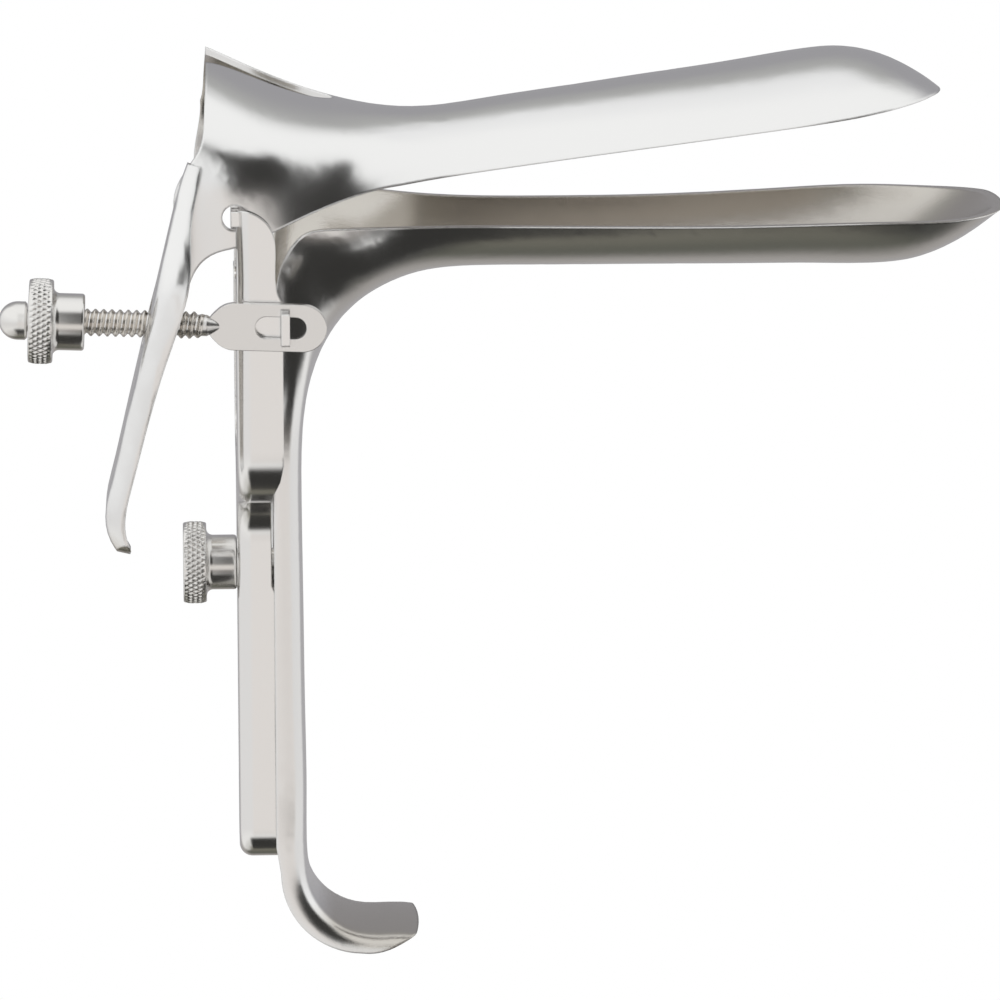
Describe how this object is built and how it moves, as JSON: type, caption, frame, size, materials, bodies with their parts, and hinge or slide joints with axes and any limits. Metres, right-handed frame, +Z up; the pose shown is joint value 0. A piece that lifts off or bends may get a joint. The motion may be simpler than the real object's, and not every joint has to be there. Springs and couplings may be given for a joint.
{
  "type": "bivalve speculum",
  "caption": "Two-bladed pressed stainless speculum with hinged upper blade, thumb lever, adjusting screw and a sliding frame clamped to the handle.",
  "frame": {"origin": "on the axis of the clamp stud, in the plane of the handle's rims, where a hand closes round the handle", "axes": "+X along the blades to their tips, +Z up from the handle to the blades, the thumb lever stands on the -Y side"},
  "size_m": [0.1445, 0.0593, 0.1319],
  "materials": {
    "polished_steel": "mirror polished stainless steel",
    "turned_steel": "turned and polished stainless steel"
  },
  "bodies": {
    "base": {"lower_blade": "polished_steel", "clamp_stud": "turned_steel"},
    "frame": {"sliding_frame": "polished_steel"},
    "upper": {"upper_blade": "polished_steel"},
    "screw": {"adjusting_screw": "turned_steel", "screw_end_cap": "turned_steel"},
    "lever_thumb_nut": {"lever_nut": "turned_steel"},
    "clamp_thumb_nut": {"clamp_nut": "turned_steel"}
  },
  "joints": [
    {"name": "frame_slide", "type": "slide", "parent": "base", "child": "frame", "axis": [0, 0, 1], "range_m": [0, 0.03]},
    {"name": "upper_tilt", "type": "hinge", "parent": "frame", "child": "upper", "pos_m": [-0.0053, 0, 0.0548], "axis": [0, -1, 0], "range_deg": [-9, 20]},
    {"name": "screw_swing", "type": "hinge", "parent": "frame", "child": "screw", "pos_m": [0.0016, -0.0269, 0.0396], "axis": [0, -1, 0], "range_deg": [-5.5, 12]},
    {"name": "lever_nut_travel", "type": "slide", "parent": "screw", "child": "lever_thumb_nut", "axis": [0.9993, 0, -0.0366], "range_m": [0, 0.0045]},
    {"name": "clamp_nut_turn", "type": "hinge", "parent": "base", "child": "clamp_thumb_nut", "pos_m": [-0.009, 0, 0], "axis": [-1, 0, 0], "continuous": true}
  ],
  "couplings": [
    {"joint": "screw_swing", "follows": "upper_tilt", "ratio": 0.59}
  ]
}
